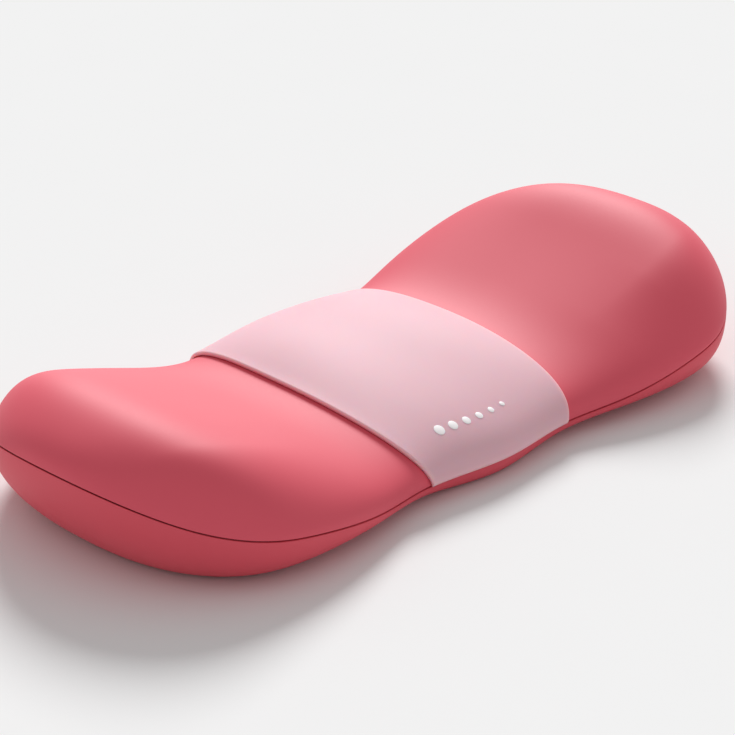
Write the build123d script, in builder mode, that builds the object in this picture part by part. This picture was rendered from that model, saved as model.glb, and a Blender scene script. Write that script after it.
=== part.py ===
"""Two-lobed wrist rest: a soft cover over foam on a stiff tray, screwed to a boat-shaped lower shell.

Millimetres. +Z up, X along the length, Y across it. The origin is on the desk, under the centre.
The form is the same left to right and front to back. Its widest line is the parting line.
"""
from build123d import *
import os
from math import radians, sin
import numpy as np

os.makedirs("parts", exist_ok=True)

# ---- plan outline (half widths, from the centre out to the tip) ----
length = 170.0
waist_half_width = 35.1
notch_x = 19.0
notch_half_width = 33.5
flank_x = 36.0
flank_half_width = 36.9
lobe_from_tip = 33.0
lobe_half_width = 38.7
haunch_from_tip = 23.0
haunch_half_width = 37.5
shoulder_from_tip = 12.0
shoulder_half_width = 30.9
nose_from_tip = 2.9
nose_half_width = 18.2

# ---- crest, the height along the middle of the top ----
waist_crest = 17.2
brow_crest_x = 12.0
brow_crest = 17.0
drop_crest_x = 19.0
drop_crest = 15.9
notch_crest_x = 24.0
notch_crest = 14.9
foot_crest_x = 29.0
foot_crest = 15.0
slope_crest_x = 42.0
slope_crest = 18.4
lobe_crest_from_tip = 27.3
lobe_crest = 24.3
top_crest_from_tip = 14.0
top_crest = 28.0
end_crest_from_tip = 6.0
end_crest = 25.8
tip_height = 19.3

# ---- parting line, seen from the side ----
parting_waist = 4.1
parting_flat_x = 30.0
parting_flat = 5.0
parting_lobe_from_tip = 30.0
parting_lobe = 9.25
parting_end_from_tip = 11.0
parting_end = 13.5
parting_tip_slope = 0.62

# ---- keel, the lowest line of the lower form before it is cut flat ----
keel_waist = -4.2
keel_flat_x = 30.0
keel_flat = -0.5
keel_lobe_from_tip = 24.0
keel_lobe = -3.2
keel_end_from_tip = 9.0
keel_end = 1.5

# ---- cross-sections: where the crest lies behind the middle, and how far the curve's handles reach up
# the side and along the top, each at the waist, at the lobe and at the tip ----
crest_shift = (0.245, 0.13, 0.0)
back_side = (0.63, 0.66, 0.20)
back_top = (0.69, 0.76, 0.76)
front_side = (0.77, 0.60, 0.20)
front_top = (0.18, 0.69, 0.76)
hull_side = 0.56
hull_bottom = 0.85
waist_reach = 41.0
waist_share_power = 1.5
tip_share_power = 3

# ---- walls, gaps and clearances ----
cover_thickness = 1.0
parting_gap = 0.3
bead_recess = 0.5
hem_width = 5.0
skin_clearance = 0.1
tray_thickness = 2.0
shell_wall = 2.0
shell_floor = 2.4
rim_land_width = 6.0
rim_land_height = 1.6
adhesive_thickness = 0.15
contact_gap = 0.05

# ---- gel pads ----
gel_from_tip = 31.0
gel_half_length = 17.0
gel_half_width = 22.0
gel_thickness = 4.0

# ---- centre band ----
band_half_length = 23.8
band_end_half_length = 19.0
band_thickness = 0.8
band_tab_depth = 4.0
film_margin = 1.5

# ---- printed mark on the band: a short row of graded dots ----
mark_from_edge = 6.4
mark_centre_x = -3.0
mark_pitch = 3.4
mark_dots = 6
mark_dot_radius = 1.1
mark_dot_step = 0.11
mark_thickness = 0.05

# ---- sole pad ----
sole_stand_proud = 0.3
sole_recess = 0.8
sole_margin = 3.5
sole_side_gap = 0.2

# ---- screws, and the posts and bosses that they join ----
screw_from_tip = 29.0
screw_y = 15.0
screw_shank_radius = 1.3
screw_head_radius = 2.5
screw_head_height = 1.5
screw_head_round = 0.7
screw_slot_length = 3.3
screw_length = 7.5
screw_point = 1.0
screw_point_taper = 0.9
screw_fit = 0.05
screw_clearance = 0.3
post_radius = 4.4
post_seat = 1.6
boss_radius = 3.0
slot_width = 0.6
slot_depth = 0.7

# ---- loft stations and sampling ----
stations = 25
end_angle = 88.0
curve_samples = 160
outline_step = 16
sole_angle_step = 10
tool_reach = 60.0

tip_x = length / 2
shell_bottom = sole_stand_proud
shell_floor_top = shell_bottom + shell_floor
sole_top = shell_bottom + sole_recess
seat_height = sole_top + contact_gap + screw_head_height


# ---- master curves, each drawn from the centre out to the tip ----
with BuildLine() as plan_curve:
    Spline(
        (0, waist_half_width),
        (notch_x, notch_half_width),
        (flank_x, flank_half_width),
        (tip_x - lobe_from_tip, lobe_half_width),
        (tip_x - haunch_from_tip, haunch_half_width),
        (tip_x - shoulder_from_tip, shoulder_half_width),
        (tip_x - nose_from_tip, nose_half_width),
        (tip_x, 0),
        tangents=((1, 0), (0, -1)),
        tangent_scalars=(1, 1),
    )

with BuildLine() as crest_curve:
    Spline(
        (0, waist_crest),
        (brow_crest_x, brow_crest),
        (drop_crest_x, drop_crest),
        (notch_crest_x, notch_crest),
        (foot_crest_x, foot_crest),
        (slope_crest_x, slope_crest),
        (tip_x - lobe_crest_from_tip, lobe_crest),
        (tip_x - top_crest_from_tip, top_crest),
        (tip_x - end_crest_from_tip, end_crest),
        (tip_x, tip_height),
        tangents=((1, 0), (0, -1)),
        tangent_scalars=(1, 1),
    )

with BuildLine() as keel_curve:
    Spline(
        (0, keel_waist),
        (keel_flat_x, keel_flat),
        (tip_x - keel_lobe_from_tip, keel_lobe),
        (tip_x - keel_end_from_tip, keel_end),
        (tip_x, tip_height),
        tangents=((1, 0), (0, 1)),
        tangent_scalars=(1, 1),
    )

half_parting = [
    (0, parting_waist),
    (parting_flat_x, parting_flat),
    (tip_x - parting_lobe_from_tip, parting_lobe),
    (tip_x - parting_end_from_tip, parting_end),
    (tip_x, tip_height),
]
with BuildLine() as parting_curve:
    Spline(*half_parting, tangents=((1, 0), (1, parting_tip_slope)), tangent_scalars=(1, 1))


def inset_profile(curve, inset, turn):
    """Sample a master curve, moved inwards by inset. turn is -1 where inwards is down, +1 where it is up."""
    edge = curve.edges()[0]
    along, across = [], []
    for step in range(curve_samples + 1):
        point = edge.position_at(step / curve_samples)
        tangent = edge.tangent_at(step / curve_samples)
        along.append(point.X - turn * inset * tangent.Y)
        across.append(point.Y + turn * inset * tangent.X)
    return along, across


def between(shape, x, reach):
    """A value at x, between the ones at the waist, at the lobe and at the tip."""
    waist, lobe, tip = shape
    waist_share = max(1 - (x / waist_reach) ** 2, 0) ** waist_share_power
    tip_share = abs(x / reach) ** tip_share_power
    return lobe + (waist - lobe) * waist_share + (tip - lobe) * tip_share


def pillow(inset):
    """The whole closed form, moved inwards all round by inset, lofted through cross-sections along X."""
    plan = inset_profile(plan_curve, inset, -1)
    crest = inset_profile(crest_curve, inset, -1)
    keel = inset_profile(keel_curve, inset, 1)
    parting = inset_profile(parting_curve, 0, 1)
    reach = tip_x - inset
    with BuildPart() as form:
        for step in range(stations):
            x = reach * sin(radians(end_angle * (2 * step / (stations - 1) - 1)))
            half = np.interp(abs(x), *plan)
            middle = np.interp(abs(x) * tip_x / reach, *parting)
            top = np.interp(abs(x), *crest)
            bottom = np.interp(abs(x), *keel)
            apex = half * between(crest_shift, x, reach)
            back_z = middle + (top - middle) * between(back_side, x, reach)
            back_y = apex + (half - apex) * between(back_top, x, reach)
            front_z = middle + (top - middle) * between(front_side, x, reach)
            front_y = apex - (half + apex) * between(front_top, x, reach)
            hull_z = middle + (bottom - middle) * hull_side
            with BuildSketch(Plane.YZ.offset(x)):
                with BuildLine():
                    Bezier((half, middle), (half, back_z), (back_y, top), (apex, top))
                    Bezier((apex, top), (front_y, top), (-half, front_z), (-half, middle))
                    Bezier((-half, middle), (-half, hull_z), (-half * hull_bottom, bottom), (0, bottom))
                    Bezier((0, bottom), (half * hull_bottom, bottom), (half, hull_z), (half, middle))
                make_face()
        loft()
    return form.part


def column(quarter):
    """A tall column on the base plane, its outline a quarter curve mirrored to all four sides."""
    with BuildPart() as prism:
        with BuildSketch():
            with BuildLine():
                Spline(*quarter, tangents=((1, 0), (0, -1)))
                mirror(about=Plane.XZ)
                mirror(about=Plane.YZ)
            make_face()
        extrude(amount=tool_reach)
    return prism.part


def plan_column(inset):
    """A column of the plan outline, moved inwards by inset."""
    along, across = inset_profile(plan_curve, inset, -1)
    return column(list(zip(along, across))[::outline_step])


def sole_column(margin):
    """A column of the flat that is left where the hull is cut level, drawn in by margin."""
    plan = inset_profile(plan_curve, 0, -1)
    parting = inset_profile(parting_curve, 0, 1)
    keel_x, keel_z = inset_profile(keel_curve, 0, 1)
    flat_end = max(x for x, z in zip(keel_x, keel_z) if z < shell_bottom)
    t = np.linspace(0, 1, curve_samples)
    quarter = []
    for angle in range(0, 90, sole_angle_step):
        x = flat_end * sin(radians(angle))
        half, middle = np.interp(x, *plan), np.interp(x, *parting)
        bottom = np.interp(x, keel_x, keel_z)
        hull_z = middle + (bottom - middle) * hull_side
        y = half * ((1 - t) ** 3 + 3 * (1 - t) ** 2 * t + 3 * (1 - t) * t**2 * hull_bottom)
        z = middle * (1 - t) ** 3 + 3 * hull_z * (1 - t) ** 2 * t + bottom * (3 * (1 - t) * t**2 + t**3)
        quarter.append((x, np.interp(-shell_bottom, -z, y)))
    quarter.append((flat_end, 0))
    x_share = 1 - margin / flat_end
    y_share = 1 - margin / quarter[0][1]
    return column([(x * x_share, y * y_share) for x, y in quarter])


def above_parting(rise):
    """Everything above the parting surface, which is lifted by rise."""
    right_half = [(x, z + rise) for x, z in half_parting]
    left_half = [(-x, z) for x, z in reversed(right_half[1:])]
    far_x = tip_x + tool_reach
    far_z = tip_height + rise + tool_reach * parting_tip_slope
    roof_z = 2 * tool_reach
    with BuildPart() as side:
        with BuildSketch(Plane.XZ):
            with BuildLine():
                Spline(
                    *left_half,
                    *right_half,
                    tangents=((1, -parting_tip_slope), (1, parting_tip_slope)),
                    tangent_scalars=(1, 1),
                )
                Polyline(
                    right_half[-1],
                    (far_x, far_z),
                    (far_x, roof_z),
                    (-far_x, roof_z),
                    (-far_x, far_z),
                    left_half[0],
                )
            make_face()
        extrude(amount=tool_reach, both=True)
    return side.part


def slab(low, high):
    """The layer between two heights above the parting surface."""
    return above_parting(low) - above_parting(high)


def band_plan(margin):
    """The band's outline seen from above, a little barrel-shaped, reaching past both sides."""
    end_x = band_end_half_length - margin
    middle_x = band_half_length - margin
    with BuildPart() as prism:
        with BuildSketch():
            with BuildLine():
                ThreePointArc((end_x, -lobe_half_width), (middle_x, 0), (end_x, lobe_half_width))
                Line((end_x, lobe_half_width), (-end_x, lobe_half_width))
                ThreePointArc((-end_x, lobe_half_width), (-middle_x, 0), (-end_x, -lobe_half_width))
                Line((-end_x, -lobe_half_width), (end_x, -lobe_half_width))
            make_face()
        extrude(amount=tool_reach)
    return prism.part


def gel_plan(margin):
    """The outline of both gel pads as tall elliptical columns, grown by margin."""
    with BuildPart() as columns:
        with BuildSketch():
            with Locations((gel_from_tip - tip_x, 0), (tip_x - gel_from_tip, 0)):
                Ellipse(gel_half_length + margin, gel_half_width + margin)
        extrude(amount=tool_reach)
    return columns.part


screw_spots = [
    (side_x * (tip_x - screw_from_tip), side_y * screw_y) for side_x in (-1, 1) for side_y in (-1, 1)
]

# Heights above the parting surface, from the shell's rim up to the foam.
hem_bottom = parting_gap / 2
hem_top = hem_bottom + cover_thickness
tray_bottom = hem_top + contact_gap
tray_top = tray_bottom + tray_thickness
foam_bottom = tray_top + contact_gap

core_inset = cover_thickness + skin_clearance
film_lift = contact_gap
band_lift = film_lift + adhesive_thickness + contact_gap
mark_lift = band_lift + band_thickness + contact_gap

outer_form = pillow(0)
cover_outside = outer_form & above_parting(hem_bottom)
cover_inside = pillow(cover_thickness) & above_parting(hem_top)
core_form = pillow(core_inset) & above_parting(tray_bottom)
shell_outside = outer_form - above_parting(-hem_bottom)
shell_inside = pillow(shell_wall) - above_parting(-hem_bottom - rim_land_height)
above_tray_top = above_parting(tray_top)
above_foam_bottom = above_parting(foam_bottom)
gap_layer = slab(-hem_bottom + contact_gap, hem_bottom - contact_gap)
rim_opening = plan_column(rim_land_width)
hem_opening = plan_column(cover_thickness + hem_width)
band_area = band_plan(0)

# ---- top cover: one stretched skin, its hem turned in under the tray ----
below_tray = hem_opening - above_parting(hem_top + contact_gap)
with BuildPart() as top_cover:
    add(cover_outside)
    add(cover_inside, mode=Mode.SUBTRACT)
    add(below_tray, mode=Mode.SUBTRACT)
top_cover.part.label = "top_cover"
export_step(top_cover.part, "parts/top_cover.step")

# ---- core tray: the curved deck under the foam, with a boss over each screw ----
with BuildPart() as core_tray:
    add(core_form)
    add(above_tray_top, mode=Mode.SUBTRACT)
    with BuildSketch(Plane.XY.offset(seat_height + post_seat + contact_gap)):
        with Locations(*screw_spots):
            Circle(boss_radius)
    extrude(until=Until.NEXT)
    with BuildSketch(Plane.XY.offset(seat_height)):
        with Locations(*screw_spots):
            Circle(screw_shank_radius + screw_fit)
    extrude(amount=screw_length + contact_gap, mode=Mode.SUBTRACT)
core_tray.part.label = "core_tray"
export_step(core_tray.part, "parts/core_tray.step")

# ---- foam core, with a shallow pocket under each palm for the gel ----
palm_layer = core_form - core_form.moved(Location((0, 0, -gel_thickness)))
pocket_layer = core_form - core_form.moved(Location((0, 0, -gel_thickness - skin_clearance)))
gel_pockets = pocket_layer & gel_plan(skin_clearance)
with BuildPart() as foam_core:
    add(core_form & above_foam_bottom)
    add(gel_pockets, mode=Mode.SUBTRACT)
foam_core.part.label = "foam_core"
export_step(foam_core.part, "parts/foam_core.step")

# ---- gel pads, each following the crown of its lobe ----
gel_pads = (palm_layer & gel_plan(0)).solids().sort_by(Axis.X)
for gel_name, gel_solid in zip(("left_gel_pad", "right_gel_pad"), (gel_pads[0], gel_pads[-1])):
    with BuildPart() as gel_pad:
        add(gel_solid)
    gel_pad.part.label = gel_name
    export_step(gel_pad.part, f"parts/{gel_name}.step")

# ---- lower shell: the stiff tapering hull, its rim turned in to carry the tray ----
with BuildPart() as shell_cavity:
    add(shell_inside)
    add(rim_opening)
    split(bisect_by=Plane.XY.offset(shell_floor_top), keep=Keep.TOP)

sole_recess_column = sole_column(sole_margin) & Pos(0, 0, sole_top / 2) * Box(length, length, sole_top)
with BuildPart() as lower_shell:
    add(shell_outside)
    split(bisect_by=Plane.XY.offset(shell_bottom), keep=Keep.TOP)
    add(shell_cavity.part, mode=Mode.SUBTRACT)
    with BuildSketch(Plane.XY.offset(shell_floor_top - shell_wall / 2)):
        with Locations(*screw_spots):
            Circle(post_radius)
    extrude(amount=seat_height + post_seat - shell_floor_top + shell_wall / 2)
    add(sole_recess_column, mode=Mode.SUBTRACT)
    with BuildSketch(Plane.XY.offset(shell_bottom)):
        with Locations(*screw_spots):
            Circle(screw_head_radius + screw_clearance)
    extrude(amount=seat_height - shell_bottom, mode=Mode.SUBTRACT)
    with BuildSketch(Plane.XY.offset(shell_bottom)):
        with Locations(*screw_spots):
            Circle(screw_shank_radius + screw_clearance)
    extrude(amount=seat_height + post_seat, mode=Mode.SUBTRACT)
lower_shell.part.label = "lower_shell"
export_step(lower_shell.part, "parts/lower_shell.step")

# ---- assembly screws: pan heads up inside the posts, slotted, with pointed ends ----
with BuildPart() as assembly_screws:
    with BuildSketch(Plane.XY.offset(seat_height - screw_head_height)):
        with Locations(*screw_spots):
            Circle(screw_head_radius)
    extrude(amount=screw_head_height)
    head_rims = assembly_screws.edges().group_by(Axis.Z)[0]
    fillet(head_rims, screw_head_round)
    with BuildSketch(Plane.XY.offset(seat_height)):
        with Locations(*screw_spots):
            Circle(screw_shank_radius)
    extrude(amount=screw_length)
    points = assembly_screws.edges().group_by(Axis.Z)[-1]
    chamfer(points, screw_point, screw_point_taper)
    with BuildSketch(Plane.XY.offset(seat_height - screw_head_height)):
        with Locations(*screw_spots):
            Rectangle(screw_slot_length, slot_width)
            Rectangle(slot_width, screw_slot_length)
    extrude(amount=slot_depth, mode=Mode.SUBTRACT)
assembly_screws.part.label = "assembly_screws"
export_step(assembly_screws.part, "parts/assembly_screws.step")

# ---- seam beads: the gasket strips that fill the parting line at each end ----
bead_ring = (plan_column(bead_recess) - rim_opening) & gap_layer
beads = (bead_ring - band_plan(-skin_clearance)).solids().sort_by(Axis.X)
for bead_name, bead_solid in zip(("left_seam_bead", "right_seam_bead"), (beads[0], beads[-1])):
    with BuildPart() as seam_bead:
        add(bead_solid)
    seam_bead.part.label = bead_name
    export_step(seam_bead.part, f"parts/{bead_name}.step")

# ---- band adhesive: the film that holds the band on the cover ----
film_inside = pillow(-film_lift)
film_outside = pillow(-film_lift - adhesive_thickness) & above_parting(hem_bottom + film_margin)
with BuildPart() as band_adhesive:
    add((film_outside - film_inside) & band_plan(film_margin))
band_adhesive.part.label = "band_adhesive"
export_step(band_adhesive.part, "parts/band_adhesive.step")

# ---- centre band: the pale strip over the waist, with a tab at each end tucked into the parting line ----
band_inside = pillow(-band_lift)
band_outside = pillow(-band_lift - band_thickness) & above_parting(-hem_bottom + contact_gap)
tab_ring = plan_column(-band_lift - band_thickness / 2) - plan_column(band_tab_depth)
with BuildPart() as centre_band:
    add((band_outside - band_inside) & band_area)
    add(tab_ring & gap_layer & band_area)
centre_band.part.label = "centre_band"
export_step(centre_band.part, "parts/centre_band.step")

# ---- band mark: a short row of dots, printed on the front slope of the band ----
with BuildPart() as dot_columns:
    for dot in range(mark_dots):
        dot_x = mark_centre_x + (dot - (mark_dots - 1) / 2) * mark_pitch
        with BuildSketch():
            with Locations((dot_x, mark_from_edge - waist_half_width)):
                Circle(mark_dot_radius - dot * mark_dot_step)
        extrude(amount=tool_reach)

mark_inside = pillow(-mark_lift)
mark_outside = pillow(-mark_lift - mark_thickness) & above_parting(hem_bottom)
with BuildPart() as band_mark:
    add((mark_outside - mark_inside) & dot_columns.part)
band_mark.part.label = "band_mark"
export_step(band_mark.part, "parts/band_mark.step")

# ---- sole pad: the rubber sheet let into the underside ----
with BuildPart() as sole_pad:
    add(sole_column(sole_margin + sole_side_gap))
    split(bisect_by=Plane.XY.offset(sole_top - adhesive_thickness - 2 * contact_gap), keep=Keep.BOTTOM)
sole_pad.part.label = "sole_pad"
export_step(sole_pad.part, "parts/sole_pad.step")

# ---- sole adhesive ----
with BuildPart() as sole_adhesive:
    add(sole_column(sole_margin + sole_side_gap + film_margin))
    split(bisect_by=Plane.XY.offset(sole_top - contact_gap), keep=Keep.BOTTOM)
    split(bisect_by=Plane.XY.offset(sole_top - contact_gap - adhesive_thickness), keep=Keep.TOP)
sole_adhesive.part.label = "sole_adhesive"
export_step(sole_adhesive.part, "parts/sole_adhesive.step")
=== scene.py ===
"""Two-lobed wrist rest: a soft-touch cover over foam on a stiff tray, in a boat-shaped lower shell.

Metres. +Z up, X along the length, Y across it, the origin on the desk under the centre.
The sections follow the rest as it is put together, from the shell on the desk up to the mark on the band.
"""
from math import cos, pi, radians, sin

import bmesh
import bpy
import numpy as np
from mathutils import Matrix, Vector


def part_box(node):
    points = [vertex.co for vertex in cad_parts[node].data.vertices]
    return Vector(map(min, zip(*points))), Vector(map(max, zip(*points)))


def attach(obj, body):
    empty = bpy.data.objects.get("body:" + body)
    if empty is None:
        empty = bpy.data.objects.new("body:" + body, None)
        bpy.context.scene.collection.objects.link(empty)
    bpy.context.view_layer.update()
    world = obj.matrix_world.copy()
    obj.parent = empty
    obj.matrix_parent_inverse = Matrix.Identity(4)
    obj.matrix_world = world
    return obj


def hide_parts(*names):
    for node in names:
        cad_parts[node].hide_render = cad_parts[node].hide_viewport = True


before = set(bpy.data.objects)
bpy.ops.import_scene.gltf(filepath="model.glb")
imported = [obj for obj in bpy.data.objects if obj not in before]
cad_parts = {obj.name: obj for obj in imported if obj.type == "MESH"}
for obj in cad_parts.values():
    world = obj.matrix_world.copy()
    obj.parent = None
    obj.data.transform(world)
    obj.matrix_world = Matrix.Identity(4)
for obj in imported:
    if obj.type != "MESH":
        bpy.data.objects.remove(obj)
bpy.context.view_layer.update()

mm = 0.001

# ---------------------------------------------------------------- lower shell
# The real piece is a boat-shaped tray moulded in ABS, dyed the same coral as the cover. It tapers in
# from the parting line to a level base, and its rim is turned in to carry the core tray. The surface
# is spark-eroded in the mould to a fine even grain, so it looks matte and a little drier than the cover.

tip_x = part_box("lower_shell")[1].x / mm
rim_gap = 0.3
lip_radius = 0.15
shell_base = 0.3
shell_wall = 2.0
shell_floor = 2.7
land_width = 6.0
land_height = 1.6
base_edge_radius = 0.6
hull_ring_count = 48
lip_angles = (22.5, 45, 67.5, 90)
land_steps = (0.6, 1.5, 3.0, 4.5)
land_root = 1.5
hull_plan_power = 2.26
hull_side_power = 2.67


def smooth_curve(knots, start, end, steps=60):
    """Points on the smooth curve through the knots that leaves along start and arrives along end."""
    knots = np.array(knots, float)
    gaps = np.hypot(*np.diff(knots, axis=0).T)
    count = len(knots)
    system, right = np.eye(count), np.zeros((count, 2))
    right[0], right[-1] = start, end
    for i in range(1, count - 1):
        before, after = gaps[i - 1], gaps[i]
        system[i, i - 1 : i + 2] = after, 2 * (before + after), before
        rise, rise_before = knots[i + 1] - knots[i], knots[i] - knots[i - 1]
        right[i] = 3 * (before * rise / after + after * rise_before / before)
    slopes = np.linalg.solve(system, right)
    t = np.linspace(0, 1, steps)[:, None]
    parts = []
    for i in range(count - 1):
        parts.append(
            knots[i] * (1 + 2 * t) * (1 - t) ** 2
            + knots[i + 1] * t**2 * (3 - 2 * t)
            + gaps[i] * (slopes[i] * t * (1 - t) ** 2 + slopes[i + 1] * t**2 * (t - 1))
        )
    return np.concatenate(parts)


plan = smooth_curve(
    [(0, 35.1), (19.0, 33.5), (36.0, 36.9), (tip_x - 33.0, 38.7), (tip_x - 23.0, 37.5),
     (tip_x - 12.0, 30.9), (tip_x - 2.9, 18.2), (tip_x, 0)], (1, 0), (0, -1))
crest = smooth_curve(
    [(0, 17.2), (12.0, 17.0), (19.0, 15.9), (24.0, 14.9), (29.0, 15.0), (42.0, 18.4),
     (tip_x - 27.3, 24.3), (tip_x - 14.0, 28.0), (tip_x - 6.0, 25.8), (tip_x, 19.3)], (1, 0), (0, -1))
parting = smooth_curve(
    [(0, 4.1), (30.0, 5.0), (tip_x - 30.0, 9.25), (tip_x - 11.0, 13.5), (tip_x, 19.3)], (1, 0), (0.85, 0.527))
keel = smooth_curve(
    [(0, -4.2), (30.0, -0.5), (tip_x - 24.0, -3.2), (tip_x - 9.0, 1.5), (tip_x, 19.3)], (1, 0), (0, 1))


def along(curve, x):
    """The curve's value at x, the same to the left and to the right."""
    return np.interp(np.abs(x), curve[:, 0], curve[:, 1])


def hull_height(x, y):
    """Height of the lower form under a point in plan."""
    side = np.clip(np.abs(y) / np.maximum(along(plan, x), 1e-6), 0, 1)
    depth = (1 - side**hull_plan_power) ** (1 / hull_side_power)
    seam = along(parting, x)
    return seam - (seam - along(keel, x)) * depth


def level_off(z, level, radius):
    """Heights cut level at the bottom, with the corner eased over radius."""
    over = z - level
    eased = (over + radius) ** 2 / (4 * radius)
    return level + np.where(over > radius, over, np.where(over < -radius, 0, eased))


quarter_steps = 96
arc = np.concatenate([[0], np.cumsum(np.hypot(*np.diff(plan, axis=0).T))])
even = np.linspace(0, arc[-1], quarter_steps + 1)[:-1]
quarter = np.stack([np.interp(even, arc, plan[:, i]) for i in (0, 1)], -1)
quarter_back = np.stack([np.interp(arc[-1] - even, arc, plan[:, i]) for i in (0, 1)], -1)
outline = np.concatenate([
    quarter,
    quarter_back * (1, -1),
    quarter * (-1, -1),
    quarter_back * (-1, 1),
])
outline_tangent = np.roll(outline, -1, axis=0) - np.roll(outline, 1, axis=0)
outline_normal = np.stack([-outline_tangent[:, 1], outline_tangent[:, 0]], -1)
outline_normal /= np.linalg.norm(outline_normal, axis=1)[:, None]
outline_normal *= np.sign((outline_normal * outline).sum(1))[:, None]


def rim_ring(inset, rise):
    """A ring along the parting line, moved inwards in plan and lifted."""
    flat = outline - outline_normal * inset
    return np.column_stack([flat, along(parting, flat[:, 0]) + rise])


def ring_of(share, height):
    """A ring of the plan outline shrunk to a share of itself, at the heights that a function gives."""
    flat = outline * share
    return np.column_stack([flat, height(flat[:, 0], flat[:, 1])])


def ring_normals(rings):
    """Unit normals, pointing up, at every point of a stack of rings."""
    rings = np.array(rings)
    around = np.roll(rings, -1, axis=1) - np.roll(rings, 1, axis=1)
    across = np.gradient(rings, axis=0)
    normals = np.cross(around, across)
    lengths = np.linalg.norm(normals, axis=2)
    centre = lengths < 1e-9
    normals[centre] = (0, 0, 1)
    lengths[centre] = 1
    normals /= lengths[..., None]
    return normals * np.where(normals[len(rings) // 2, :, 2].mean() < 0, -1, 1)


def new_piece(name, points, faces, material):
    """A smooth mesh piece from points in millimetres, riding on the one body."""
    mesh = bpy.data.meshes.new(name)
    mesh.from_pydata((np.array(points) * mm).tolist(), [], faces)
    solid = bmesh.new()
    solid.from_mesh(mesh)
    bmesh.ops.remove_doubles(solid, verts=solid.verts, dist=0.002 * mm)
    bmesh.ops.recalc_face_normals(solid, faces=solid.faces)
    solid.to_mesh(mesh)
    solid.free()
    mesh.shade_smooth()
    piece = bpy.data.objects.new(name, mesh)
    bpy.context.scene.collection.objects.link(piece)
    mesh.materials.append(material)
    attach(piece, "root")
    return piece


def ring_faces(rows, columns):
    """Faces between neighbouring rings of a stack, each ring closed on itself."""
    faces = []
    for row in range(rows - 1):
        for column in range(columns):
            after = (column + 1) % columns
            faces.append((row * columns + column, row * columns + after,
                          (row + 1) * columns + after, (row + 1) * columns + column))
    return faces


def linear(hex_colour):
    """An sRGB hex colour as the linear colour that a shader takes."""
    channels = [int(hex_colour[i : i + 2], 16) / 255 for i in (1, 3, 5)]
    return tuple(c / 12.92 if c <= 0.04045 else ((c + 0.055) / 1.055) ** 2.4 for c in channels) + (1,)


def add_node(material, kind, settings={}, **links):
    """Add a node with its settings, and link its inputs. An input may be a value or another socket."""
    node = material.node_tree.nodes.new(kind)
    for key, value in settings.items():
        setattr(node, key, value)
    for key, value in links.items():
        socket = node.inputs[int(key[1:])] if key[1:].isdigit() else node.inputs[key.replace("_", " ")]
        if isinstance(value, bpy.types.NodeSocket):
            material.node_tree.links.new(value, socket)
        else:
            socket.default_value = value
    return node


def new_material(name):
    """An empty node material, with its shader's output ready to link."""
    material = bpy.data.materials.new(name)
    material.use_nodes = True
    material.node_tree.nodes.clear()
    add_node(material, "ShaderNodeOutputMaterial")
    return material


def finish_material(material, shader):
    """Link the shader to the material's output."""
    output = next(n for n in material.node_tree.nodes if n.type == "OUTPUT_MATERIAL")
    material.node_tree.links.new(shader.outputs[0], output.inputs[0])
    return material


# Spark-eroded ABS: even matte coral, with a fine pebble grain 0.25 mm across.
grain_size = 0.25 * mm
eroded_cloud_size = 18 * mm
eroded_abs = new_material("spark_eroded_coral_abs")
place = add_node(eroded_abs, "ShaderNodeTexCoord")
grain = add_node(eroded_abs, "ShaderNodeTexNoise", Vector=place.outputs["Object"], Scale=1 / grain_size,
                 Detail=3.0, Roughness=0.6)
cloud = add_node(eroded_abs, "ShaderNodeTexNoise", Vector=place.outputs["Object"],
                 Scale=1 / eroded_cloud_size, Detail=2.0)
tint = add_node(eroded_abs, "ShaderNodeMix", {"data_type": "RGBA"}, Factor=cloud.outputs["Fac"],
                _6=linear("#DC4F5E"), _7=linear("#E05563"))
rough = add_node(eroded_abs, "ShaderNodeMapRange", Value=grain.outputs["Fac"], To_Min=0.5, To_Max=0.64)
bump = add_node(eroded_abs, "ShaderNodeBump", Height=grain.outputs["Fac"], Strength=0.15, Distance=0.03 * mm)
shader = add_node(eroded_abs, "ShaderNodeBsdfPrincipled", Base_Color=tint.outputs[2],
                  Roughness=rough.outputs[0], IOR=1.53, Specular_IOR_Level=0.3, Normal=bump.outputs[0])
finish_material(eroded_abs, shader)

# Where the hull reaches the level base along each ray from the centre, less a margin: the sole's recess.
sole_margin = 3.5
sole_recess = 0.8
sole_smoothing = 6
recess_ring_count = 8
probe = np.linspace(0.3, 1, 400)
sole_share = np.empty(len(outline))
for i, point in enumerate(outline):
    heights = hull_height(point[0] * probe, point[1] * probe)
    flat_end = probe[np.argmax(heights > shell_base)]
    sole_share[i] = flat_end - sole_margin / np.hypot(*point)
for _ in range(sole_smoothing):
    sole_share = (np.roll(sole_share, 1) + 2 * sole_share + np.roll(sole_share, -1)) / 4

outside, inside = [], []
for t in np.linspace(0, 1, recess_ring_count):
    outside.append(ring_of((sole_share * t)[:, None], lambda x, y: x * 0 + shell_base + sole_recess))
curved_shares = [
    (sole_share + (1 - sole_share) * sin(pi / 2 * t))[:, None] for t in np.linspace(0, 1, hull_ring_count)
]
hull_rings = [ring_of(share, hull_height) for share in curved_shares]
hull_inward = ring_normals(hull_rings)
for ring, normal in zip(hull_rings, hull_inward):
    inner = ring + normal * shell_wall
    inner[:, 2] = level_off(inner[:, 2], shell_floor, base_edge_radius)
    inner[:, 2] = np.minimum(inner[:, 2], along(parting, inner[:, 0]) - rim_gap / 2 - land_height)
    inside.append(inner)
    ring[:, 2] = level_off(ring[:, 2], shell_base, base_edge_radius)
    ring[:, 2] = np.minimum(ring[:, 2], along(parting, ring[:, 0]) - rim_gap / 2 - lip_radius)
    outside.append(ring)
lip = [
    rim_ring(lip_radius * (1 - cos(radians(a))), -rim_gap / 2 - lip_radius * (1 - sin(radians(a))))
    for a in lip_angles
]
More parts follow.
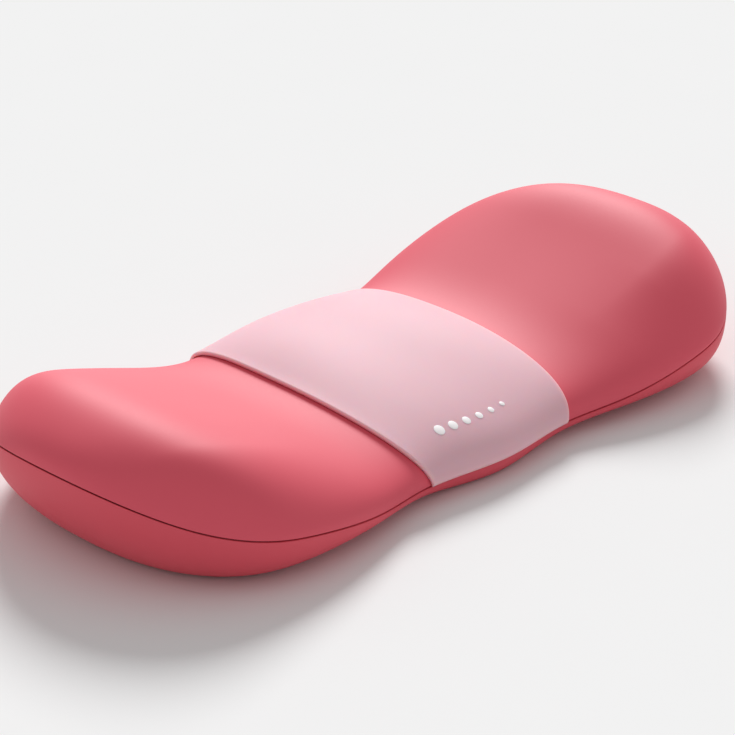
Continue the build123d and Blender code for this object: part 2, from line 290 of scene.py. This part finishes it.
land = [rim_ring(d, -rim_gap / 2) for d in (*land_steps, land_width)]
land += [rim_ring(d, -rim_gap / 2 - land_height) for d in (land_width, shell_wall + land_root)]
centre = [ring_of((sole_share * t)[:, None], lambda x, y: x * 0 + shell_floor) for t in (0.6, 0)]
shell_rings = outside + lip + land + inside[::-1] + centre
lower_shell = new_piece("lower_shell_moulding", np.concatenate(shell_rings),
                        ring_faces(len(shell_rings), len(outline)), eroded_abs)
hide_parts("lower_shell")

# ---------------------------------------------------------------- sole pad
# The real piece is a sheet of moulded black-cherry rubber, glued into a recess in the base so that
# it hides the screw heads. Low round nubs, set in staggered rows, keep the rest from sliding on a desk.

nub_pitch = 3.2
nub_radius = 1.1
nub_height = 0.35
nub_sides = 14
nub_margin = 2.4
nub_row_share = 0.866
nub_root = 0.05
nub_dome = [(1.0, nub_root), (1.0, -0.1), (0.9, -0.24), (0.62, -0.33)]
sole_half_width = 40
sole_gap = 0.2
sole_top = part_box("sole_pad")[1].z / mm
sole_edge_radius = 0.3
sole_steps = (12, 6, 2, 0.8)
fleck_size = 0.4 * mm
dust_size = 9 * mm

# Moulded rubber: dark and dry, with fine flecks where it left the mould and a faint bloom of dust.
rubber = new_material("moulded_black_cherry_rubber")
place = add_node(rubber, "ShaderNodeTexCoord")
fleck = add_node(rubber, "ShaderNodeTexNoise", Vector=place.outputs["Object"], Scale=1 / fleck_size,
                 Detail=4.0)
dust = add_node(rubber, "ShaderNodeTexNoise", Vector=place.outputs["Object"], Scale=1 / dust_size, Detail=5.0)
tint = add_node(rubber, "ShaderNodeMix", {"data_type": "RGBA"}, Factor=dust.outputs["Fac"],
                _6=linear("#3E2227"), _7=linear("#573239"))
rough = add_node(rubber, "ShaderNodeMapRange", Value=fleck.outputs["Fac"], To_Min=0.62, To_Max=0.85)
bump = add_node(rubber, "ShaderNodeBump", Height=fleck.outputs["Fac"], Strength=0.25, Distance=0.03 * mm)
shader = add_node(rubber, "ShaderNodeBsdfPrincipled", Base_Color=tint.outputs[2], Roughness=rough.outputs[0],
                  IOR=1.52, Normal=bump.outputs[0])
finish_material(rubber, shader)


def sole_ring(inset, z):
    """A ring of the sole's outline, moved inwards."""
    share = sole_share - (sole_gap + inset) / np.hypot(outline[:, 0], outline[:, 1])
    return ring_of(share[:, None], lambda x, y: x * 0 + z)


sole_centre = np.zeros((len(outline), 3))
sole_rings = [sole_centre + (0, 0, nub_height)]
sole_rings += [sole_ring(d, nub_height) for d in sole_steps]
sole_rings += [
    sole_ring(sole_edge_radius * (1 - sin(radians(a))), nub_height + sole_edge_radius * (1 - cos(radians(a))))
    for a in (0, 30, 60, 90)
]
sole_rings += [sole_ring(0, sole_top), sole_ring(6, sole_top), sole_centre + (0, 0, sole_top)]
points = list(np.concatenate(sole_rings))
faces = ring_faces(len(sole_rings), len(outline))
sole_angle = np.arctan2(outline[:, 1], outline[:, 0])
sole_reach = np.hypot(*sole_ring(nub_margin, 0)[:, :2].T)
order = np.argsort(sole_angle)
row_count = int(sole_half_width / (nub_pitch * nub_row_share))
column_count = int(tip_x / nub_pitch)
for row in range(-row_count, row_count + 1):
    for column in range(-column_count, column_count + 1):
        x = (column + 0.5 * (row % 2)) * nub_pitch
        y = row * nub_pitch * nub_row_share
        reach = np.interp(np.arctan2(y, x), sole_angle[order], sole_reach[order], period=2 * pi)
        if np.hypot(x, y) > reach:
            continue
        first = len(points)
        for share, drop in nub_dome:
            for side in range(nub_sides):
                angle = 2 * pi * side / nub_sides
                points.append((x + nub_radius * share * cos(angle), y + nub_radius * share * sin(angle),
                               nub_height + drop))
        points += [(x, y, nub_height + nub_root), (x, y, 0.0)]
        for level in range(len(nub_dome) - 1):
            for side in range(nub_sides):
                after = (side + 1) % nub_sides
                low, high = first + level * nub_sides, first + (level + 1) * nub_sides
                faces.append((low + side, low + after, high + after, high + side))
        last = first + (len(nub_dome) - 1) * nub_sides
        for side in range(nub_sides):
            after = (side + 1) % nub_sides
            faces.append((first + after, first + side, last + nub_sides))
            faces.append((last + side, last + after, last + nub_sides + 1))
sole_pad = new_piece("sole_pad_rubber", points, faces, rubber)
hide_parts("sole_pad")

# ---------------------------------------------------------------- pieces inside
# The adhesive films, screws, tray, foam and gel are closed in, and keep their shapes from the CAD
# frame. Each gets its own material, so that the rest can be taken apart on screen.


def plain_finish(name, low, high, roughness, scale, bump_depth, metallic=0.0, ior=1.5, subsurface=0.0):
    """A material whose colour, roughness and relief vary on one noise of the given size in millimetres."""
    material = new_material(name)
    place = add_node(material, "ShaderNodeTexCoord")
    noise = add_node(material, "ShaderNodeTexNoise", Vector=place.outputs["Object"], Scale=1 / (scale * mm),
                     Detail=4.0, Roughness=0.6)
    tint = add_node(material, "ShaderNodeMix", {"data_type": "RGBA"}, Factor=noise.outputs["Fac"],
                    _6=linear(low), _7=linear(high))
    rough = add_node(material, "ShaderNodeMapRange", Value=noise.outputs["Fac"], To_Min=roughness - 0.07,
                     To_Max=roughness + 0.07)
    bump = add_node(material, "ShaderNodeBump", Height=noise.outputs["Fac"], Strength=0.5,
                    Distance=bump_depth * mm)
    shader = add_node(material, "ShaderNodeBsdfPrincipled", Base_Color=tint.outputs[2],
                      Roughness=rough.outputs[0], Metallic=metallic, IOR=ior, Subsurface_Weight=subsurface,
                      Normal=bump.outputs[0])
    return finish_material(material, shader)


inner_finishes = {
    # Double-sided tissue tape: cloudy cream, slightly glossy where the glue is thick.
    "tissue_tape": (plain_finish("tissue_backed_adhesive_tape", "#DDD6C4", "#EEE9DC", 0.35, 1.5, 0.02),
                    ["sole_adhesive", "band_adhesive"]),
    # Zinc-plated steel: blue-grey, with the faint mottle of barrel plating.
    "plated_steel": (
        plain_finish("barrel_plated_zinc_steel", "#9DA2A8", "#C3C7CC", 0.32, 0.6, 0.01, metallic=1.0),
        ["assembly_screws"]),
    # Glass-filled nylon: near black, with pale streaks of fibre close under the skin.
    "filled_nylon": (plain_finish("moulded_glass_filled_nylon", "#1D1C1E", "#2C2A2D", 0.5, 2.0, 0.02),
                     ["core_tray"]),
    # Slow-rebound polyurethane foam: cream, with open cells 0.6 mm across.
    "slow_foam": (plain_finish("moulded_slow_rebound_foam", "#DCD2B8", "#F5EFDF", 0.9, 0.6, 0.3),
                  ["foam_core"]),
    # Polyurethane gel: translucent rose, wet-looking and faintly cloudy.
    "soft_gel": (plain_finish("cast_polyurethane_gel", "#D78D9C", "#E9AFBB", 0.15, 6.0, 0.05, subsurface=0.6),
                 ["left_gel_pad", "right_gel_pad"]),
    # Extruded silicone cord: dark coral, matte, with the faint drag lines of the die.
    "silicone_bead": (plain_finish("extruded_dark_coral_silicone", "#7E2733", "#96333F", 0.6, 0.5, 0.02),
                      ["left_seam_bead", "right_seam_bead"]),
}
for finish, names in inner_finishes.values():
    for name in names:
        cad_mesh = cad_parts[name].data
        cad_mesh.materials.clear()
        cad_mesh.materials.append(finish)

# ---------------------------------------------------------------- top cover
# The real piece is one skin of polyurethane film on stretch knit, pulled over the foam and glued
# under the tray, so its lower edge turns in at the parting line. It is soft to the touch and matte.

# Each pair is how square the section is across and upwards.
waist_powers = (2.0, 2.43)
lobe_powers = (2.87, 2.29)
tip_powers = (2.53, 1.06)
# How far the crest lies behind the middle, and how far out from the waist its section carries on.
waist_shift = 0.26
lobe_shift = 0.14
waist_reach = 41.0
waist_share_power = 1.5
tip_share_power = 3
# The outer lobes' front: how the palm's top falls, how steep the face is, how soft the shoulder between
# them is, how much of it is taken, where it starts and fades, and how near the foam it may come.
palm_fall = 0.06
face_slope = 4.9
shoulder_round = 0.8
face_share = 0.6
face_start = 32.0
face_full = 62.0
face_fade = 30.0
face_least = 0.018
cover_thickness = 1.0
hem_width = 5.0
hem_steps = (0.6, 1.5, 3.0)
crown_steps = 72
rib_pitch = 1.0 * mm
pore_size = 0.3 * mm
knit_cloud_size = 22 * mm
# A wave texture's scale is this, over the pitch of its bands.
wave_turn = 0.314


def between(waist, lobe, tip, x):
    """A value at x, between the ones at the waist, at the lobe and at the tip."""
    waist_share = np.maximum(1 - (x / waist_reach) ** 2, 0) ** waist_share_power
    tip_share = np.abs(x / tip_x) ** tip_share_power
    return lobe + (waist - lobe) * waist_share + (tip - lobe) * tip_share


def front_face(shifted):
    """Rise of a lobe's front half: a nearly level top, then a soft shoulder and a steep straight face."""
    top = 1 - palm_fall * shifted**2
    face = face_slope * (1 - np.abs(shifted))
    overlap = np.clip(0.5 + 0.5 * (face - top) / shoulder_round, 0, 1)
    return face + (top - face) * overlap - shoulder_round * overlap * (1 - overlap)


def crown_height(x, side, base):
    """Height of the top at x, a share of the way from the middle to the edge, above a base height."""
    plan_power, side_power = [between(*powers, x) for powers in zip(waist_powers, lobe_powers, tip_powers)]
    side = np.clip(side, -1, 1)
    shifted = side - between(waist_shift, lobe_shift, 0, x) * (1 - side**2)
    rise = np.maximum(1 - np.abs(shifted) ** plan_power, 0) ** (1 / side_power)

    # The front of the outer lobes, blended in from the waist and out again towards the tip.
    onset = np.clip((np.abs(x) - face_start) / (face_full - face_start), 0, 1)
    onset = onset**2 * (3 - 2 * onset) * np.clip((tip_x - np.abs(x)) / face_fade, 0, 1)
    inward = np.minimum(np.abs(shifted) + face_least, 1)
    least = np.maximum(1 - inward**plan_power, 0) ** (1 / side_power)
    faced = np.maximum(rise + (front_face(shifted) - rise) * onset * face_share, least)
    rise = np.where(shifted < 0, faced, rise)
    return base + np.maximum(along(crest, x) - base, 0) * rise


def cover_height(x, y):
    """Height of the cover over a point in plan."""
    side = y / np.maximum(along(plan, x), 1e-6)
    return crown_height(x, side, along(parting, x) + rim_gap / 2 + lip_radius)


# Polyurethane-coated knit: saturated coral and matte. The knit under the film shows as very low ribs 1 mm
# apart, drawn coarser than the real 0.3 mm so that they show, with pores in the film between them.
coated_knit = new_material("polyurethane_coated_coral_knit")
place = add_node(coated_knit, "ShaderNodeTexCoord")
ribs = add_node(coated_knit, "ShaderNodeTexWave", {"bands_direction": "X"}, Vector=place.outputs["Object"],
                Scale=wave_turn / rib_pitch, Distortion=1.2, Detail=2.0, Detail_Scale=2.0)
pores = add_node(coated_knit, "ShaderNodeTexNoise", Vector=place.outputs["Object"], Scale=1 / pore_size,
                 Detail=3.0, Roughness=0.6)
cloud = add_node(coated_knit, "ShaderNodeTexNoise", Vector=place.outputs["Object"], Scale=1 / knit_cloud_size,
                 Detail=2.0)
relief = add_node(coated_knit, "ShaderNodeMath", {"operation": "MULTIPLY_ADD"}, _0=ribs.outputs["Fac"],
                  _1=0.25, _2=pores.outputs["Fac"])
tint = add_node(coated_knit, "ShaderNodeMix", {"data_type": "RGBA"}, Factor=cloud.outputs["Fac"],
                _6=linear("#DE5364"), _7=linear("#E25868"))
rough = add_node(coated_knit, "ShaderNodeMapRange", Value=pores.outputs["Fac"], To_Min=0.55, To_Max=0.65)
bump = add_node(coated_knit, "ShaderNodeBump", Height=relief.outputs[0], Strength=0.12, Distance=0.03 * mm)
shader = add_node(coated_knit, "ShaderNodeBsdfPrincipled", Base_Color=tint.outputs[2],
                  Roughness=rough.outputs[0], IOR=1.5, Specular_IOR_Level=0.38, Normal=bump.outputs[0])
finish_material(coated_knit, shader)

crown_shares = [sin(pi / 2 * i / crown_steps) for i in range(crown_steps + 1)]
top_rings = [ring_of(share, cover_height) for share in crown_shares]
top_outward = ring_normals(top_rings)
under_rings = []
for ring, normal in zip(top_rings, top_outward):
    under = ring - normal * cover_thickness
    under[:, 2] = np.maximum(under[:, 2], along(parting, under[:, 0]) + rim_gap / 2 + cover_thickness)
    under_rings.append(under)
lip = [
    rim_ring(lip_radius * (1 - cos(radians(a))), rim_gap / 2 + lip_radius * (1 - sin(radians(a))))
    for a in lip_angles
]
hem = [rim_ring(d, rim_gap / 2) for d in (*hem_steps, hem_width)]
hem += [rim_ring(d, rim_gap / 2 + cover_thickness) for d in (hem_width, *hem_steps[:0:-1])]
cover_rings = top_rings + lip + hem + under_rings[::-1]
top_cover = new_piece("top_cover_skin", np.concatenate(cover_rings),
                      ring_faces(len(cover_rings), len(outline)), coated_knit)
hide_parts("top_cover")

# ---------------------------------------------------------------- centre band
# The real piece is a strip of pale pink silicone-like elastomer, moulded to the saddle and bonded
# over the waist. Its edges are rolled, and a paler pink painted highlight runs all round them.

band_middle = 23.8
band_end = 19.3
band_lift = 0.25
band_thickness = 0.8
band_edge_radius = 0.4
# Rough spans in millimetres that turn a share of the band into a distance from its edge.
band_half_span = 20
band_side_span = 36.0
band_rise_share = 0.6
# Where the painted highlight along the edge ends, in edge radii.
painted_highlight_reach = 2.2
skin_size = 0.35 * mm
band_cloud_size = 16 * mm


def band_point(x, side):
    """A point on the cover's surface, from its place along the length and its share of the half width."""
    base = along(parting, x) + rim_gap / 2
    return np.stack([x, side * along(plan, x), crown_height(x, side, base)], -1)


def band_normal(x, side):
    """The outward normal of the cover's surface there."""
    step_x, step_side = 0.05, 0.0005
    side = np.clip(side, -1 + 2 * step_side, 1 - 2 * step_side)
    lengthwise = band_point(x + step_x, side) - band_point(x - step_x, side)
    crosswise = band_point(x, side + step_side) - band_point(x, side - step_side)
    normal = np.cross(lengthwise, crosswise)
    return normal / np.linalg.norm(normal, axis=-1)[..., None]


# Moulded elastomer: pale pink and satin, and light sinks in a little. Near the rolled edge the colour is a
# painted highlight.
elastomer = new_material("moulded_pale_pink_elastomer")
place = add_node(elastomer, "ShaderNodeTexCoord")
skin = add_node(elastomer, "ShaderNodeTexNoise", Vector=place.outputs["Object"], Scale=1 / skin_size,
                Detail=3.0, Roughness=0.55)
cloud = add_node(elastomer, "ShaderNodeTexNoise", Vector=place.outputs["Object"], Scale=1 / band_cloud_size,
                 Detail=2.0)
tint = add_node(elastomer, "ShaderNodeMix", {"data_type": "RGBA"}, Factor=cloud.outputs["Fac"],
                _6=linear("#EEB5BF"), _7=linear("#F1BAC4"))
painted_highlight_node = add_node(elastomer, "ShaderNodeAttribute", {"attribute_name": "painted_rim_highlight"})
# The colour turns a paler pink near the band's edges: a painted highlight where the rolled edge meets the
# light.
colour_with_painted_highlight = add_node(elastomer, "ShaderNodeMix", {"data_type": "RGBA"}, Factor=painted_highlight_node.outputs["Fac"],
                  _6=tint.outputs[2], _7=linear("#FFC2CA"))
rough = add_node(elastomer, "ShaderNodeMapRange", Value=skin.outputs["Fac"], To_Min=0.5, To_Max=0.62)
bump = add_node(elastomer, "ShaderNodeBump", Height=skin.outputs["Fac"], Strength=0.1, Distance=0.03 * mm)
shader = add_node(elastomer, "ShaderNodeBsdfPrincipled", Base_Color=colour_with_painted_highlight.outputs[2],
                  Roughness=rough.outputs[0], IOR=1.45, Specular_IOR_Level=0.15, Subsurface_Weight=0.35,
                  Subsurface_Scale=4 * mm, Normal=bump.outputs[0])
finish_material(elastomer, shader)

# Distances in from the edge, close together where the edge rolls over.
roll = [band_edge_radius * (1 - cos(radians(a))) for a in (0, 15, 30, 45, 60, 75, 90)]
side_steps = np.sin(np.linspace(-pi / 2, pi / 2, 121))


def rolled(distance):
    """How much of the thickness is left at a distance in from the edge."""
    short = np.clip(1 - distance / band_edge_radius, 0, 1)
    return band_thickness - band_edge_radius + band_edge_radius * np.sqrt(1 - short**2)


half_length = band_end + (band_middle - band_end) * np.sqrt(np.maximum(1 - side_steps**2, 0))
roll_shares = [1.0 - d / band_half_span for d in roll]
across = np.array(sorted({*(-share for share in roll_shares), *np.linspace(-0.95, 0.95, 60), *roll_shares}))
x_grid = across[:, None] * half_length[None, :]
side_grid = np.repeat(side_steps[None, :], len(across), 0)
surface = band_point(x_grid, side_grid)
outward = band_normal(x_grid, side_grid)
from_edge = (1 - np.abs(across))[:, None] * half_length[None, :]
base_line = along(parting, x_grid) + rim_gap / 2
from_end = np.repeat((1 - np.abs(side_steps))[None, :], len(across), 0) * band_side_span
from_end += (surface[..., 2] - base_line) * band_rise_share
height = np.minimum(rolled(from_edge), rolled(from_end))
outer = surface + outward * (band_lift + height)[..., None]
inner = surface + outward * band_lift
rows, cols = x_grid.shape
points = np.concatenate([outer.reshape(-1, 3), inner.reshape(-1, 3)])
faces = []
for r in range(rows - 1):
    for c in range(cols - 1):
        quad = (r * cols + c, r * cols + c + 1, (r + 1) * cols + c + 1, (r + 1) * cols + c)
        faces.append(quad)
        faces.append(tuple(rows * cols + i for i in reversed(quad)))
border = [(0, c) for c in range(cols)] + [(r, cols - 1) for r in range(1, rows)]
border += [(rows - 1, c) for c in range(cols - 2, -1, -1)] + [(r, 0) for r in range(rows - 2, 0, -1)]
border = [r * cols + c for r, c in border]
for i, here in enumerate(border):
    there = border[(i + 1) % len(border)]
    faces.append((here, there, there + rows * cols, here + rows * cols))
centre_band = new_piece("centre_band_moulding", points, faces, elastomer)
# How much painted highlight each point gets: full at the edges, fading in over a few edge radii, and full on
# the underside.
painted_rim_highlight = centre_band.data.attributes.new("painted_rim_highlight", "FLOAT", "POINT")
painted_highlight_share = np.clip(1 - np.minimum(from_edge, from_end) / (painted_highlight_reach * band_edge_radius), 0, 1)
painted_highlight_share = np.concatenate([painted_highlight_share.ravel(), np.ones(rows * cols)])
painted_rim_highlight.data.foreach_set("value", painted_highlight_share.astype(np.float32)[: len(centre_band.data.vertices)])
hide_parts("centre_band")

# ---------------------------------------------------------------- band mark
# The real mark is pad-printed in white ink near the band's front edge. This one is a plain row of
# dots that grow smaller, a film of ink a few hundredths of a millimetre thick.

dot_count = 6
dot_pitch = 3.4
dot_radius = 1.1
dot_step = 0.11
dot_row_x = -3.0
dot_row_side = -0.82
ink_thickness = 0.05
ink_gap = 0.02
dot_sides = 32
# Rings from the middle of the underside round to the middle of the top: share of the radius, and of the film.
dot_rings = ((0, 0), (1, 0), (1, 0.6), (0.94, 1), (0, 1))
speck_size = 0.2 * mm

# Pad-printed ink: near white and satin, a little uneven where the pad let go.
ink = new_material("pad_printed_white_ink")
place = add_node(ink, "ShaderNodeTexCoord")
speck = add_node(ink, "ShaderNodeTexNoise", Vector=place.outputs["Object"], Scale=1 / speck_size, Detail=3.0)
tint = add_node(ink, "ShaderNodeMix", {"data_type": "RGBA"}, Factor=speck.outputs["Fac"],
                _6=linear("#FFF6F7"), _7=linear("#FFFFFF"))
rough = add_node(ink, "ShaderNodeMapRange", Value=speck.outputs["Fac"], To_Min=0.4, To_Max=0.5)
shader = add_node(ink, "ShaderNodeBsdfPrincipled", Base_Color=tint.outputs[2], Roughness=rough.outputs[0],
                  IOR=1.5)
finish_material(ink, shader)

points, faces = [], []
for dot in range(dot_count):
    centre_x = dot_row_x + (dot - (dot_count - 1) / 2) * dot_pitch
    radius = dot_radius - dot * dot_step
    centre_y = dot_row_side * along(plan, centre_x)
    first = len(points)
    for share, lift in dot_rings:
        for side in range(dot_sides):
            angle = 2 * pi * side / dot_sides
            x = centre_x + radius * share * cos(angle)
            y = centre_y + radius * share * sin(angle)
            place_side = y / along(plan, x)
            spot = band_point(np.array(x), np.array(place_side))
            spot = spot + band_normal(np.array(x), np.array(place_side)) * (
                band_lift + band_thickness + ink_gap + ink_thickness * lift)
            points.append(spot)
    for level in range(len(dot_rings) - 1):
        for side in range(dot_sides):
            after = (side + 1) % dot_sides
            low, high = first + level * dot_sides, first + (level + 1) * dot_sides
            faces.append((low + side, low + after, high + after, high + side))
band_mark = new_piece("band_mark_print", points, faces, ink)
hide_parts("band_mark")

# ---------------------------------------------------------------- room
# A pale floor that runs out of sight, one broad soft light behind the rest and to its right, and an even
# white surround that fills the shadow. None of it belongs to the rest.

floor_mesh = bpy.data.meshes.new("floor")
reach = 6.0
floor_corners = [(-reach, -reach, 0), (reach, -reach, 0), (reach, reach, 0), (-reach, reach, 0)]
floor_mesh.from_pydata(floor_corners, [], [(0, 1, 2, 3)])
floor = bpy.data.objects.new("floor", floor_mesh)
bpy.context.scene.collection.objects.link(floor)

# Backdrop paper: pale grey and dull, with a mottle too faint to notice.
mottle_size = 25 * mm
paper = new_material("pale_grey_backdrop_paper")
place = add_node(paper, "ShaderNodeTexCoord")
mottle = add_node(paper, "ShaderNodeTexNoise", Vector=place.outputs["Object"], Scale=1 / mottle_size,
                  Detail=3.0)
tint = add_node(paper, "ShaderNodeMix", {"data_type": "RGBA"}, Factor=mottle.outputs["Fac"],
                _6=linear("#EDEDED"), _7=linear("#EEEEEE"))
shader = add_node(paper, "ShaderNodeBsdfPrincipled", Base_Color=tint.outputs[2], Roughness=0.9,
                  Specular_IOR_Level=0.0)
finish_material(paper, shader)
floor_mesh.materials.append(paper)

key_azimuth = 47.0
key_height = 34.0
key_strength = 3.05
key_spread = 21.0
surround = 0.5
sun = bpy.data.lights.new("soft_key", "SUN")
sun.energy = key_strength
sun.angle = radians(key_spread)
key = bpy.data.objects.new("soft_key", sun)
bpy.context.scene.collection.objects.link(key)
towards = Vector((sin(radians(key_azimuth)) * cos(radians(key_height)),
                  cos(radians(key_azimuth)) * cos(radians(key_height)), sin(radians(key_height))))
key.rotation_mode = "QUATERNION"
key.rotation_quaternion = towards.to_track_quat("Z", "Y")

world = bpy.data.worlds.new("surround")
bpy.context.scene.world = world
world.use_nodes = True
world.node_tree.nodes["Background"].inputs[0].default_value = (1, 1, 1, 1)
world.node_tree.nodes["Background"].inputs[1].default_value = surround

# The camera stands to the front left, a little above, far off with a long lens.
camera_azimuth = radians(-45.32)
camera_height = radians(25.11)
camera_distance = 7.0444
camera_right = -0.0209
camera_up = 0.1255
lens_share = 2967.2 / 735
back = Vector((sin(camera_azimuth) * cos(camera_height), -cos(camera_azimuth) * cos(camera_height),
               sin(camera_height)))
right = Vector((cos(camera_azimuth), sin(camera_azimuth), 0))
up = back.cross(right)
lens = bpy.data.cameras.new("camera")
camera = bpy.data.objects.new("camera", lens)
bpy.context.scene.collection.objects.link(camera)
bpy.context.scene.camera = camera
lens.sensor_width = 36.0
lens.lens = lens.sensor_width * lens_share
lens.clip_start, lens.clip_end = 0.01, 50.0
half_span = 0.085
camera.location = (back * camera_distance + right * camera_right + up * camera_up) * half_span
camera.rotation_mode = "QUATERNION"
camera.rotation_quaternion = (-back).to_track_quat("-Z", "Y")

bpy.context.scene.view_settings.view_transform = "Standard"
